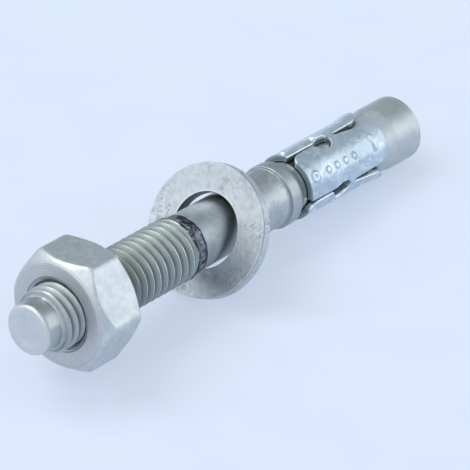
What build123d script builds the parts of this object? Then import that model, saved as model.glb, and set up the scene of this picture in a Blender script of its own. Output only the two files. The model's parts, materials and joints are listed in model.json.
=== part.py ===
from build123d import *
from math import acos, atan, atan2, cos, degrees, hypot, pi, radians, sin, tan
import os

# Wedge anchor, thread size M10: a through-bolt with a cone at its far end, an
# expansion clip folded round its neck, a hexagon nut and a loose plain washer.
# It lies on a table as it comes to rest: on the rim of the cone and on the lower
# edge of the washer, which leans on the shank and props the threaded end up.
#
# Every piece is drawn about the bolt's own axis, which is local X. The tip's end
# face is at X = 0 and the cone is at the far end. Angles round the axis are
# measured from local +Z and turn towards -Y. All sizes are in millimetres.

# ---- Anchor bolt: the stretches along it, from tip to cone ----
# A step is how far a stretch lies under the thread's crests (the tip) or under
# the body, the diameter that fills the drilled hole (the shank and the neck).
TIP_STEP = 1.03
TIP_LENGTH = 2.7
TIP_CHAMFER = 0.4
THREAD_LEAD_ANGLE = 55.0
THREAD_D = 9.95
THREAD_PITCH = 1.5
THREAD_TURNS = 19
THREAD_DEPTH = 0.9
THREAD_CREST_WIDTH = 0.2
THREAD_FIRST_CREST = 0.08
THREAD_FACETS = 32
RUNOUT_LENGTH = 0.6
BAND_RISE = 0.08
BAND_LENGTH = 1.7
BODY_D = 9.95
SHANK_STEP = 0.45
SHANK_LENGTH = 19.2
COLLAR_LENGTH = 2.0
COLLAR_CHAMFER = 0.2
COLLAR_BEVEL_ANGLE = 31.0
NECK_STEP = 0.97
NECK_LENGTH = 17.0
CONE_ANGLE = 12.5
CONE_BLEND_R = 3.0
LAND_LENGTH = 5.4
END_EDGE_R = 0.6

# ---- Hexagon nut ----
NUT_ACROSS_FLATS = 17.0
NUT_HEIGHT = 8.0
NUT_CORNER_R = 1.0
NUT_CHAMFER_INSETS = (0.64, 0.15)
NUT_CHAMFER_ANGLES = (45.0, 30.0)
NUT_SINK_WIDTH = 1.1
NUT_SINK_ANGLE = 45.0
NUT_THREAD_CLEARANCE = 0.06
NUT_TIP_STAND_OUT = 6.25
NUT_TURN = -2.4

# ---- Plain washer ----
WASHER_D = 20.0
WASHER_HOLE_PLAY = 1.25
WASHER_THICKNESS = 2.0
WASHER_CHAMFER = 0.2
WASHER_SHANK_GAP = 0.08
WASHER_PLACE = 5.7

# ---- Expansion clip: one steel strip, rolled round the neck ----
CLIP_THICKNESS = 1.0
CLIP_NECK_GAP = 0.1
CLIP_END_FLOAT = 0.7
CLIP_CONE_LAP = 1.6
CLIP_CONE_GAP = 0.05
CLIP_FLARE_LENGTH = 3.1
SLIT_ANGLES = (0.5, 97.5, 185.0, 272.5)
SEAM_INDEX = 2
SLIT_WIDTH = 0.4

# Sizes of the gaps between two panels: on the panel that follows, and on the one before
CORNER_CUT_WIDTHS = (1.7, 0.35)
CORNER_CUT_LENGTHS = (1.2, 0.5)
NOTCH_STARTS = (5.2, 5.7)
NOTCH_DEPTHS = (1.95, 0.6)
NOTCH_RAMPS = (1.2, 1.4)
NOTCH_TAPERS = (1.1, 0.7)
NOTCH_END = 9.0
BRIDGE_LENGTH = 1.2
TONGUE_GAP_MIDDLES = (0.75, 0.3)
TONGUE_GAP_ENDS = (1.65, 1.3)
TONGUE_CORNER_LENGTH = 0.8
TONGUE_CORNER_SLOPE = 1.6
TONGUE_CORNER_R = 1.5

# Marks pressed outwards in the panel that follows the first slit
BOSS_D = 1.6
BOSS_HEIGHT = 0.2
BOSS_PLACE = 1.6
BEAD_D = 0.5
BEAD_ARC = 36.0
BEAD_FROM_END = 2.7
MARKS_ANGLE = 54.0

# ---- Where each stretch of the bolt starts, along its axis ----
thread_r = THREAD_D / 2
tip_r = thread_r - TIP_STEP
body_r = BODY_D / 2
shank_r = body_r - SHANK_STEP
band_r = shank_r + BAND_RISE
neck_r = body_r - NECK_STEP
thread_start = TIP_LENGTH + TIP_STEP / tan(radians(THREAD_LEAD_ANGLE))
thread_end = thread_start + THREAD_TURNS * THREAD_PITCH
first_crest = thread_start + THREAD_FIRST_CREST
band_start = thread_end + RUNOUT_LENGTH
shank_start = band_start + BAND_LENGTH
collar_start = shank_start + SHANK_LENGTH
bevel_start = collar_start + COLLAR_LENGTH
neck_start = bevel_start + NECK_STEP / tan(radians(COLLAR_BEVEL_ANGLE))
cone_start = neck_start + NECK_LENGTH
land_start = cone_start + NECK_STEP / tan(radians(CONE_ANGLE))
bolt_length = land_start + LAND_LENGTH

# ---- What goes on the bolt takes its bore and place from it ----
bore_r = thread_r + NUT_THREAD_CLEARANCE
washer_hole_d = THREAD_D + WASHER_HOLE_PLAY
washer_centre = shank_start + WASHER_PLACE
clip_start = neck_start + CLIP_END_FLOAT
clip_length = cone_start + CLIP_CONE_LAP - clip_start
clip_inner_r = neck_r + CLIP_NECK_GAP
clip_outer_r = clip_inner_r + CLIP_THICKNESS
flare_start = clip_length - CLIP_FLARE_LENGTH
flare_rise = CLIP_CONE_LAP * tan(radians(CONE_ANGLE)) + CLIP_CONE_GAP - CLIP_NECK_GAP


def turned(points, radii):
    """A solid turned about X: (place, radius) points, rounded at each inner one."""
    outline = FilletPolyline(*points, radius=radii)
    closing = Polyline(outline @ 1, outline @ 0)
    return revolve(make_face(Curve([outline, closing])), Axis.X)


def thread_radius(place, turn):
    """Radius of the thread's surface at a place along the bolt and a share of a turn.

    The cut is the thread's depth midway between two turns of the crest. It never
    stands above the cone that leads on to it, and it fades out over the run-out.
    """
    phase = (place - first_crest) / THREAD_PITCH - turn
    from_crest = abs(phase - round(phase)) * THREAD_PITCH - THREAD_CREST_WIDTH / 2
    cut = THREAD_DEPTH * max(from_crest, 0) / (THREAD_PITCH / 2 - THREAD_CREST_WIDTH / 2)
    fade = min(max((thread_end - place) / RUNOUT_LENGTH, 0), 1)
    lead = tip_r + (place - TIP_LENGTH) * tan(radians(THREAD_LEAD_ANGLE))
    past_end = max(place - thread_end, 0) / RUNOUT_LENGTH
    crest = thread_r - (thread_r - band_r) * past_end
    return min(crest - cut * fade, lead)


def make_thread():
    """The thread as a solid of flat facets, from the tip's cylinder to the band.

    Its rows follow both edges of the crest and the root, and rise by one pitch a
    turn. Each stops in the plane where the thread begins or ends.
    """
    first_turn = int((TIP_LENGTH - first_crest) / THREAD_PITCH) - 2
    last_turn = int((band_start - first_crest) / THREAD_PITCH) + 2
    rows = [
        first_crest + turn * THREAD_PITCH + offset
        for turn in range(first_turn, last_turn)
        for offset in (-THREAD_CREST_WIDTH / 2, THREAD_CREST_WIDTH / 2, THREAD_PITCH / 2)
    ]

    def corner(row, column):
        turn = column / THREAD_FACETS
        place = min(max(row + THREAD_PITCH * turn, TIP_LENGTH), band_start)
        r = thread_radius(place, turn)
        angle = 2 * pi * (column % THREAD_FACETS) / THREAD_FACETS
        return round(place, 6), round(-r * sin(angle), 6), round(r * cos(angle), 6)

    facets = []
    for low, high in zip(rows, rows[1:]):
        for column in range(THREAD_FACETS):
            a, b = corner(low, column), corner(low, column + 1)
            c, d = corner(high, column + 1), corner(high, column)
            for triangle in ((a, b, c), (a, c, d)):
                if len(set(triangle)) == 3 and len({point[0] for point in triangle}) > 1:
                    facets.append(Face(Wire.make_polygon(triangle, close=True)))
    for end_row in (rows[0] - THREAD_PITCH, rows[-1] + THREAD_PITCH):
        ring = [corner(end_row, column) for column in range(THREAD_FACETS)]
        facets.append(Face(Wire.make_polygon(ring, close=True)))
    return Solid(Shell(facets))


def make_anchor_bolt():
    """The bolt in one piece: its tip, its thread, and the (place, radius, rounding)
    of each corner that is turned beyond the thread."""
    tip_points = (
        (0, 0),
        (0, tip_r - TIP_CHAMFER),
        (TIP_CHAMFER, tip_r),
        (TIP_LENGTH, tip_r),
        (TIP_LENGTH, 0),
    )
    tip = revolve(make_face(Polyline(*tip_points, close=True)), Axis.X)
    corners = (
        (band_start, band_r, 0),
        (shank_start, band_r, 0),
        (shank_start, shank_r, 0),
        (collar_start, shank_r, 0),
        (collar_start, body_r - COLLAR_CHAMFER, 0),
        (collar_start + COLLAR_CHAMFER, body_r, 0),
        (bevel_start, body_r, 0),
        (neck_start, neck_r, 0),
        (cone_start, neck_r, CONE_BLEND_R),
        (land_start, body_r, CONE_BLEND_R),
        (bolt_length, body_r, END_EDGE_R),
    )
    points = [(band_start, 0)] + [(x, r) for x, r, _ in corners] + [(bolt_length, 0)]
    body = turned(points, [rounding for _, _, rounding in corners])
    return tip + make_thread() + body


def make_hex_nut():
    """A hexagon bar chamfered more at its outer end, bored and countersunk."""
    half_flats = NUT_ACROSS_FLATS / 2
    corner_r = half_flats / cos(radians(30))
    outer_r, inner_r = [half_flats - inset for inset in NUT_CHAMFER_INSETS]
    outer_slope, inner_slope = [tan(radians(angle)) for angle in NUT_CHAMFER_ANGLES]
    outer_drop = (corner_r - outer_r) * outer_slope
    inner_drop = (corner_r - inner_r) * inner_slope
    sink_r = bore_r + NUT_SINK_WIDTH
    sink_depth = NUT_SINK_WIDTH / tan(radians(NUT_SINK_ANGLE))
    hexagon = RegularPolygon(corner_r, 6)
    hexagon = fillet(hexagon.vertices(), NUT_CORNER_R)
    bar = extrude(Plane.YZ * hexagon, NUT_HEIGHT)
    chamfered_ring = Polyline(
        (0, sink_r),
        (0, outer_r),
        (outer_drop, corner_r),
        (NUT_HEIGHT - inner_drop, corner_r),
        (NUT_HEIGHT, inner_r),
        (NUT_HEIGHT, sink_r),
        (NUT_HEIGHT - sink_depth, bore_r),
        (sink_depth, bore_r),
        close=True,
    )
    nut = bar & revolve(make_face(chamfered_ring), Axis.X)
    return Pos(NUT_TIP_STAND_OUT, 0, 0) * Rot(NUT_TURN, 0, 0) * nut


def make_washer():
    """A punched disc with its outer edges slightly bevelled, centred on the origin."""
    half = WASHER_THICKNESS / 2
    ring = Polyline(
        (-half, washer_hole_d / 2),
        (-half, WASHER_D / 2),
        (half, WASHER_D / 2),
        (half, washer_hole_d / 2),
        close=True,
    )
    section = make_face(ring)
    outer_corners = section.vertices().sort_by(Axis.Y)[-2:]
    section = chamfer(outer_corners, WASHER_CHAMFER)
    return revolve(section, Axis.X)


def gap_before_bridge():
    """The gap between two panels from the near end up to the bridge, laid flat.

    Points are (along the clip, across the gap). The panels' near corners are cut
    off, a slit follows, and then a notch that bites into both panels.
    """
    half = SLIT_WIDTH / 2
    points = []
    for index, sign in enumerate((1, -1)):
        cut_length = CORNER_CUT_LENGTHS[index]
        cut_width = CORNER_CUT_WIDTHS[index]
        cut_slope = (cut_width - half) / cut_length
        notch_start = NOTCH_STARTS[index]
        depth = NOTCH_DEPTHS[index]
        side = [
            (-1, sign * (cut_width + cut_slope)),
            (cut_length, sign * half),
            (notch_start, sign * half),
            (notch_start + NOTCH_RAMPS[index], sign * depth),
            (NOTCH_END - NOTCH_TAPERS[index], sign * depth),
            (NOTCH_END, sign * half),
        ]
        points += side if sign > 0 else reversed(side)
    return make_face(Polyline(*points, close=True))


def gap_between_tongues():
    """The gap beyond the bridge, which widens between the tongues' round corners."""
    gap_root = NOTCH_END + BRIDGE_LENGTH
    corner_start = clip_length - TONGUE_CORNER_LENGTH
    corner_run = (TONGUE_CORNER_LENGTH + 1) * TONGUE_CORNER_SLOPE
    points = []
    radii = []
    for middle, end, sign in zip(TONGUE_GAP_MIDDLES, TONGUE_GAP_ENDS, (1, -1)):
        side = [
            (gap_root, sign * SLIT_WIDTH / 2),
            ((gap_root + corner_start) / 2, sign * middle),
            (corner_start, sign * end),
            (clip_length + 1, sign * (end + corner_run)),
        ]
        side_radii = [0, 0, TONGUE_CORNER_R, 0]
        points += side if sign > 0 else reversed(side)
        radii += side_radii if sign > 0 else reversed(side_radii)
    return make_face(FilletPolyline(*points, radius=radii, close=True))


def make_expansion_clip():
    """A flared sleeve cut into panels, left open at its seam, with two marks."""
    wall = Polyline(
        (0, clip_inner_r),
        (0, clip_outer_r),
        (flare_start, clip_outer_r),
        (clip_length, clip_outer_r + flare_rise),
        (clip_length, clip_inner_r + flare_rise),
        (flare_start, clip_inner_r),
        close=True,
    )
    clip = revolve(make_face(wall), Axis.X)

    gaps = [gap_before_bridge(), gap_between_tongues()]
    seam = Pos(clip_length / 2, 0) * Rectangle(clip_length + 2, SLIT_WIDTH)
    for index, slit_angle in enumerate(SLIT_ANGLES):
        for gap in gaps + [seam] * (index == SEAM_INDEX):
            facing_up = extrude(Rot(180, 0, 0) * gap, -2 * clip_outer_r)
            clip -= Rot(slit_angle, 0, 0) * facing_up

    wall_middle = clip_inner_r + CLIP_THICKNESS / 2
    boss_height = clip_outer_r + BOSS_HEIGHT - wall_middle
    boss = Cylinder(BOSS_D / 2, boss_height, align=(Align.CENTER, Align.CENTER, Align.MIN))
    clip += Rot(MARKS_ANGLE, 0, 0) * Pos(BOSS_PLACE, 0, wall_middle) * boss

    bead_place = clip_length - BEAD_FROM_END
    bead_r = clip_outer_r + flare_rise * (bead_place - flare_start) / CLIP_FLARE_LENGTH
    bead_section = Plane.XZ * Pos(bead_place, bead_r) * Circle(BEAD_D / 2)
    first_end = Rot(MARKS_ANGLE - BEAD_ARC / 2, 0, 0) * bead_section
    clip += revolve(first_end, Axis.X, BEAD_ARC)
    return Pos(clip_start, 0, 0) * clip


def washer_lean():
    """The lean at which a round hole in a plate jams on a round shank, in degrees.

    The shank touches one rim of the hole below and the other rim above, so the
    hole's diagonal, seen from the side, spans the shank.
    """
    diagonal = hypot(washer_hole_d, WASHER_THICKNESS)
    spanned = 2 * shank_r + WASHER_SHANK_GAP
    return degrees(acos(spanned / diagonal) - atan(WASHER_THICKNESS / washer_hole_d))


def resting_tilt():
    """The tilt that sets the washer's edge and the cone's rim on one level.

    The washer lies on the edge between its rim and the bevel, the cone on its
    rounded end. The depth of each under the bolt's axis, taken at the washer's
    centre, makes the equation P cos(tilt) + Q sin(tilt) = END_EDGE_R.
    """
    lean = radians(washer_lean())
    rim_r = WASHER_D / 2
    rim_half = WASHER_THICKNESS / 2 - WASHER_CHAMFER
    reach = bolt_length - END_EDGE_R - washer_centre
    p = rim_r * cos(lean) + rim_half * sin(lean) - (body_r - END_EDGE_R)
    q = rim_half * cos(lean) - rim_r * sin(lean) - reach
    return degrees(atan2(q, p) + acos(END_EDGE_R / hypot(p, q)))


def make_part():
    """Every piece in its resting place, with the origin under the middle."""
    on_bolt = {
        "anchor_bolt": make_anchor_bolt(),
        "hex_nut": make_hex_nut(),
        "washer": Pos(washer_centre, 0, 0) * Rot(0, washer_lean(), 0) * make_washer(),
        "expansion_clip": make_expansion_clip(),
    }
    tilted = {name: Rot(0, resting_tilt(), 0) * piece for name, piece in on_bolt.items()}
    box = Compound(children=[piece.solid() for piece in tilted.values()]).bounding_box()
    to_origin = Pos(-(box.min.X + box.max.X) / 2, -(box.min.Y + box.max.Y) / 2, -box.min.Z)
    return {name: to_origin * piece for name, piece in tilted.items()}


os.makedirs("parts", exist_ok=True)
for name, piece in make_part().items():
    piece.label = name
    export_step(piece, os.path.join("parts", f"{name}.step"))
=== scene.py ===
"""Wedge anchor: the visual model, its finishes and a plain studio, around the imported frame.

Lengths in the shape functions are millimetres along the bolt's axis, counted from the
middle of the tip's end face. Angles round the axis start at the top and are
right-handed, so the threads climb with them. Everything becomes metres in the mesh.
"""
import json
import math
from collections import namedtuple

import bmesh
import bpy
import numpy as np
from bpy.props import FloatProperty, FloatVectorProperty, IntProperty, PointerProperty
from mathutils import Euler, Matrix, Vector

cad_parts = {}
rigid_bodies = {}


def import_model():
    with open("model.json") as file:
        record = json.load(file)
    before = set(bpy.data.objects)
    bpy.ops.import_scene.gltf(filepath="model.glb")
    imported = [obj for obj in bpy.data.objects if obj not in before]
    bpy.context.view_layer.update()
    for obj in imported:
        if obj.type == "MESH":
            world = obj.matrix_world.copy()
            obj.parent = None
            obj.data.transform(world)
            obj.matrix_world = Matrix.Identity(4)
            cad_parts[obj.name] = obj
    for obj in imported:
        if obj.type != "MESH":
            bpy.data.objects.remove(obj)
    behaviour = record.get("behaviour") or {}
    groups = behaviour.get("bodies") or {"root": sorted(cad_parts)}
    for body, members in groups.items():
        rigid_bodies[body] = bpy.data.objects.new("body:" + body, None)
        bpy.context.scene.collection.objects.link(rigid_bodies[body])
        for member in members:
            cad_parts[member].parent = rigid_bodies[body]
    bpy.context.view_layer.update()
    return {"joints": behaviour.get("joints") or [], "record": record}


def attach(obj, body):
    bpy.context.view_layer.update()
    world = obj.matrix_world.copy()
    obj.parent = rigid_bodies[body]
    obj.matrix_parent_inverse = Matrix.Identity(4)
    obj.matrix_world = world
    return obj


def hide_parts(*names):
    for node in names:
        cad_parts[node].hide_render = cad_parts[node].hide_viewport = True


bl_info = {
    "name": "Wedge anchor",
    "version": (1, 0, 0),
    "blender": (4, 5, 0),
    "location": "3D View > Sidebar > Anchor",
    "description": "Builds a zinc-coated wedge anchor and a plain studio round it",
    "category": "Object",
}

for default_object in list(bpy.data.objects):
    bpy.data.objects.remove(default_object)
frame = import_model()

MM = 0.001
TURN = 2 * math.pi
# Corners closer than this, in metres, are one, and faces under this area are left out
SAME_PLACE = 1e-6
NO_AREA = 1e-14


def mount_place(name):
    """The place of one of the record's mounts."""
    mount = next(m for m in frame["record"]["mounts"] if m["name"] == name)
    return np.array(mount["pos_m"])


# The bolt's own frame: ALONG points from the tip to the cone, UP is square to it
# in the upright plane, and SIDE is level.
ALONG = np.array(frame["joints"][0]["axis"])
ALONG = ALONG / np.linalg.norm(ALONG)
SIDE = np.array([0.0, 1.0, 0.0])
UP = np.cross(ALONG, SIDE)
NUT_FRONT = 6.25
NUT_HEIGHT = 8.0
TIP = mount_place("wrench_flats") - (NUT_FRONT + NUT_HEIGHT / 2) * MM * ALONG


# ---------------------------------------------------------------- settings


def setting(name, description, default):
    """A number that can be changed in the panel."""
    return FloatProperty(name=name, description=description, default=default)


def shade(name, description, default):
    """A colour that can be changed in the panel."""
    text = {"name": name, "description": description}
    return FloatVectorProperty(**text, subtype="COLOR", default=default)


class BoltSizes(bpy.types.PropertyGroup):
    """Sizes of the bolt, in millimetres."""

    crest_r: setting("Crest radius", "Radius over the crests", 4.975)
    pitch: setting("Pitch", "Travel of the thread in a turn", 1.5)
    depth: setting("Depth", "From the crests to the roots", 0.66)
    crest_flat: setting("Crest flat", "Width of a crest", 0.26)
    root_flat: setting("Root flat", "Width of a root", 0.2)
    soften: setting("Soften", "Rounding of the thread", 0.03)
    crest_at: setting("Crest place", "Where a crest is on top", 24.5)
    columns: IntProperty(name="Columns", description="Steps round it", default=144, min=24)


class NutSizes(bpy.types.PropertyGroup):
    """Sizes of the hexagon nut, in millimetres."""

    across_flats: setting("Across flats", "Width of the nut", 17.0)
    corner_r: setting("Corner radius", "Rounding of the corners", 1.5)
    front_r: setting("Front ring", "Radius of the front face", 7.86)
    back_r: setting("Back ring", "Radius of the back face", 8.35)
    sink_r: setting("Countersink", "Radius of the countersink", 5.85)
    lip_r: setting("Lip", "Where the countersink ends", 5.14)
    turn: setting("Turn", "How far it is turned, degrees", -2.4)
    clearance: setting("Clearance", "Play of the threads", 0.07)


class WasherSizes(bpy.types.PropertyGroup):
    """Sizes of the washer, in millimetres, and its lean in degrees."""

    outer_r: setting("Outer radius", "Radius of the rim", 10.0)
    hole_r: setting("Hole radius", "Radius of the hole", 5.6)
    thickness: setting("Thickness", "Thickness of the disc", 2.0)
    place: setting("Place", "Its middle along the bolt", 39.921)
    lean: setting("Lean", "Lean from upright, in degrees", 26.507)


class ClipSizes(bpy.types.PropertyGroup):
    """Sizes of the expansion clip, in millimetres."""

    start: setting("Start", "Where its near end lies", 57.736)
    length: setting("Length", "Length along the bolt", 17.9)
    inner_r: setting("Inner radius", "Inside of the sheet", 4.105)
    sheet: setting("Sheet", "Thickness of the sheet", 1.0)
    flare: setting("Flare", "Rise of the tongues", 0.305)
    first_slit: setting("First slit", "Its angle, degrees", 0.5)


class AnchorColours(bpy.types.PropertyGroup):
    """Colours of the finishes and of the studio."""

    coat: shade("Zinc coat", "Matt coating of the bolt", (0.50, 0.545, 0.56))
    coat_dark: shade("Dull zinc", "Duller patches of the coating", (0.37, 0.41, 0.42))
    washer: shade("Washer", "Coating of the washer and nut", (0.60, 0.645, 0.675))
    clip: shade("Bright zinc", "Plating of the clip", (0.53, 0.635, 0.715))
    ink: shade("Ink", "Ring painted below the thread", (0.018, 0.012, 0.03))
    floor: shade("Floor", "Colour of the table", (0.745, 0.83, 0.985))


class StudioSettings(bpy.types.PropertyGroup):
    """Camera and light."""

    eye: FloatVectorProperty(
        name="Eye",
        description="Place of the camera",
        subtype="TRANSLATION",
        default=(-0.55564, -0.4646, 0.49275),
    )
    turn: FloatVectorProperty(
        name="Turn",
        description="Turn of the camera, in degrees about X, Y and Z",
        default=(56.1555, 0.2308, -50.4546),
    )
    lens: setting("Lens", "Focal length, mm", 459.57)
    sky: setting("Sky", "Strength of the light from all round", 0.84)
    sun: setting("Key", "Strength of the key light", 1.0)


# ---------------------------------------------------------------- shapes


def around(s, r, phi):
    """Points at the place s along the bolt, the distance r from its axis and the
    angle phi: TIP + s ALONG + r (cos phi UP - sin phi SIDE), in metres."""
    s, r, phi = np.broadcast_arrays(s, r, phi)
    outward = np.cos(phi)[..., None] * UP - np.sin(phi)[..., None] * SIDE
    return TIP + (s[..., None] * ALONG + r[..., None] * outward) * MM


def even_turn(count, closed=False):
    """count angles evenly round the axis, with the first one again at the end if closed."""
    return np.arange(count + closed) * TURN / count


def smooth_step(x):
    """0 below 0, 1 above 1, and 3 x^2 - 2 x^3 between them."""
    x = np.clip(x, 0, 1)
    return x * x * (3 - 2 * x)


def soft_clip(x, soften):
    """x held between 0 and 1 with rounded corners:
    half of sqrt(x^2 + soften) - sqrt((x - 1)^2 + soften) + 1."""
    return (np.sqrt(x * x + soften) - np.sqrt((x - 1) ** 2 + soften) + 1) / 2


def ripple(s, phi, seed, along, round_axis, waves=10):
    """Gentle unevenness between about -1 and 1: a sum of cosines, each with a random
    phase, random waves along the bolt, up to along in a millimetre, and a whole number
    of waves round it, up to round_axis."""
    rng = np.random.default_rng(seed)
    total = 0.0
    for _ in range(waves):
        a = rng.uniform(-along, along)
        b = rng.integers(-round_axis, round_axis + 1)
        total = total + np.cos(a * TURN * s + b * phi + rng.uniform(0, TURN))
    return total / waves**0.5 / 1.5


def dome(s, phi, at_s, at_phi, r, half_width, edge):
    """1 inside a round spot of that half width, 0 outside, with a soft edge. The spot
    lies at (at_s, at_phi in degrees) on a cylinder of radius r."""
    away = np.hypot(s - at_s, (phi - math.radians(at_phi)) * r)
    return smooth_step((half_width + edge / 2 - away) / edge)


def thread_drop(s, phi, sizes):
    """How far the thread's surface lies under its crests, as a share of its depth. The
    distance w from the nearest crest is measured along the bolt, after the thread's
    rise of one pitch a turn is taken off. The share is 0 on the crest's flat, 1 on the
    root's flat and straight between, with soft corners."""
    phase = (s - sizes.crest_at) / sizes.pitch - phi / TURN
    w = np.abs(phase - np.round(phase)) * sizes.pitch
    flank = (sizes.pitch - sizes.crest_flat - sizes.root_flat) / 2
    return soft_clip((w - sizes.crest_flat / 2) / flank, sizes.soften)


def thread_grid(start, end, sizes, phi):
    """(s, phi) of a grid whose rows follow the thread: row t and angle phi lie at
    s = t + pitch phi / turn, held between start and end. Row steps are closer at the
    crests' and the roots' corners."""
    flank = (sizes.pitch - sizes.crest_flat - sizes.root_flat) / 2
    half, top = sizes.pitch / 2, sizes.crest_flat / 2
    on_flank = top + np.array([0.06, 0.2, 0.5, 0.8, 0.98]) * flank
    side = np.append(np.array([0, 0.5, 0.85]) * top, on_flank)
    cell = np.concatenate([side, [half], sizes.pitch - side[:0:-1]])
    first = math.floor((start - sizes.crest_at) / sizes.pitch) - 1
    last = math.ceil((end - sizes.crest_at) / sizes.pitch)
    turns = sizes.crest_at + np.arange(first, last + 1) * sizes.pitch
    t = (turns[:, None] + cell).reshape(-1, 1)
    return np.clip(t + sizes.pitch * phi / TURN, start, end), phi + 0 * t


def rounded_outline(corners, cuts, steps):
    """Rows of a section, (row, column, 2), with its corners rounded. A corner becomes a
    quadratic curve between the points that lie its cut, or under half an edge, before
    and after it. The first and the last row stay."""
    rows = [corners[:1]]
    u = np.linspace(0, 1, steps + 1)[:, None, None]
    for i in range(1, len(corners) - 1):
        before, here, after = corners[i - 1], corners[i], corners[i + 1]
        if cuts[i] == 0:
            rows.append(here[None])
            continue
        ends = []
        for other in (before, after):
            edge = other - here
            span = np.linalg.norm(edge, axis=-1, keepdims=True)
            ends.append(here + edge * np.minimum(cuts[i] / np.maximum(span, 1e-9), 0.48))
        rows.append((1 - u) ** 2 * ends[0] + 2 * u * (1 - u) * here + u * u * ends[1])
    rows.append(corners[-1:])
    return np.concatenate(rows)


def section_rows(outline, phi, steps):
    """Rows of a section about an axis, with its corners rounded in that many steps.
    outline holds (x, r, cut, pieces): x along the axis and r from it, each the same all
    round or one for each angle of phi, the corner's cut, and the number of even pieces
    on the way to the next corner."""
    same = np.ones_like(phi)
    corners = [np.stack([x * same, r * same], -1) for x, r, _, _ in outline]
    points, cuts = [], []
    for here, after, (_, _, cut, pieces) in zip(corners, corners[1:], outline):
        u = np.linspace(0, 1, pieces + 1)[:-1, None, None]
        points.append(here + u * (after - here))
        cuts += [cut] + [0] * (pieces - 1)
    points.append(corners[-1][None])
    rows = rounded_outline(np.concatenate(points), cuts + [0], steps)
    return rows[..., 0], rows[..., 1]


def grid_faces(rows, columns, wrap=False):
    """Corner numbers of a grid's four-sided faces, turned away from the axis where the
    columns go right-handed round it and the rows go along it."""
    number = np.arange(rows * columns).reshape(rows, columns)
    if wrap:
        number = np.hstack([number, number[:, :1]])
    corners = (number[:-1, :-1], number[:-1, 1:], number[1:, 1:], number[1:, :-1])
    return np.stack(corners, -1).reshape(-1, 4)


def link_object(name, data):
    """A new object in the scene."""
    thing = bpy.data.objects.new(name, data)
    bpy.context.scene.collection.objects.link(thing)
    return thing


def make_piece(name, grids, body, node, material, sharp=34):
    """One closed mesh from several grids of points, merged where they meet. grids holds
    (points, faces or None, wrap), with the points as (row, column, 3). Edges that turn
    by more than sharp, in degrees, aren't smoothed."""
    points, faces, count = [], [], 0
    for grid, own_faces, wrap in grids:
        rows, columns = grid.shape[:2]
        if own_faces is None:
            own_faces = grid_faces(rows, columns, wrap)
        points.append(grid.reshape(-1, 3))
        faces.append(own_faces + count)
        count += rows * columns
    mesh = bpy.data.meshes.new(name)
    mesh.from_pydata(np.concatenate(points).tolist(), [], np.concatenate(faces).tolist())
    work = bmesh.new()
    work.from_mesh(mesh)
    bmesh.ops.remove_doubles(work, verts=work.verts, dist=SAME_PLACE)
    flat = [face for face in work.faces if face.calc_area() < NO_AREA]
    bmesh.ops.delete(work, geom=flat, context="FACES_ONLY")
    bmesh.ops.recalc_face_normals(work, faces=work.faces)
    for face in work.faces:
        face.smooth = True
    work.to_mesh(mesh)
    work.free()
    mesh.set_sharp_from_angle(angle=math.radians(sharp))
    mesh.materials.append(material)
    piece = link_object(name, mesh)
    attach(piece, body)
    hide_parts(node)


# ---------------------------------------------------------------- the pieces

# The bolt's radii and the places along it where they change
TIP_R = 3.945
BAND_R = 4.605
SHANK_R = 4.525
NECK_R = 4.005
TIP_LENGTH = 2.7
THREAD_END = 31.921
BAND_START = 32.521
SHANK_START = 34.221
COLLAR_START = 53.421
BEVEL_START = 55.421
NECK_START = 57.036
CONE_START = 74.036
LAND_START = 78.411
BOLT_LENGTH = 83.811


def tip_grid(phi):
    """The tip: an end face with a shallow dish, whose depth follows a smooth step, a
    rounded edge and a cylinder. Slight dents fade out at the middle and the thread."""
    dish_r, dish_depth, dish_fade = 2.8, 0.16, 1.1
    face = ((0, 0, 0, 14), (0, dish_r, 0, 1))
    outline = (*face, (0, TIP_R, 1.1, 1), (TIP_LENGTH, TIP_R, 0, 0))
    s, r = section_rows(outline, np.zeros(1), 9)
    s = s + dish_depth * smooth_step((dish_r - r) / dish_fade)
    dent = 0.012 * ripple(s, phi, 3, along=0.3, round_axis=3) * smooth_step(r)
    dent = dent * smooth_step((TIP_LENGTH - s) / 0.4)
    return around(s + np.maximum(dent, 0), r + dent, phi), None, True


def bolt_thread_grid(sizes):
    """The bolt's thread. Its radius is the crest's less the depth times thread_drop,
    and never more than the lead at the tip or the cone of the run-out allows. The last
    root rises to the run-out, and the crests are worn by up to a few hundredths."""
    s, phi = thread_grid(TIP_LENGTH, BAND_START, sizes, even_turn(sizes.columns, True))
    crest = sizes.crest_r
    drop = thread_drop(s, phi, sizes) * smooth_step((THREAD_END - s) / 0.9)
    lead = 0.7 * smooth_step((s - TIP_LENGTH - 0.3) / 0.5)
    lead = lead + 0.3 * smooth_step((s - TIP_LENGTH - 0.5) / 0.75)
    run_out = np.interp(s, (THREAD_END, BAND_START), (crest, BAND_R))
    limit = np.where(s > THREAD_END, run_out, TIP_R + (crest - TIP_R) * lead)
    worn = 0.02 * ripple(s, phi, 5, along=0.5, round_axis=5)
    r = np.minimum(crest - sizes.depth * drop - np.abs(worn) * (drop < 0.3), limit)
    return around(s, r, phi), None, False


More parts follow.
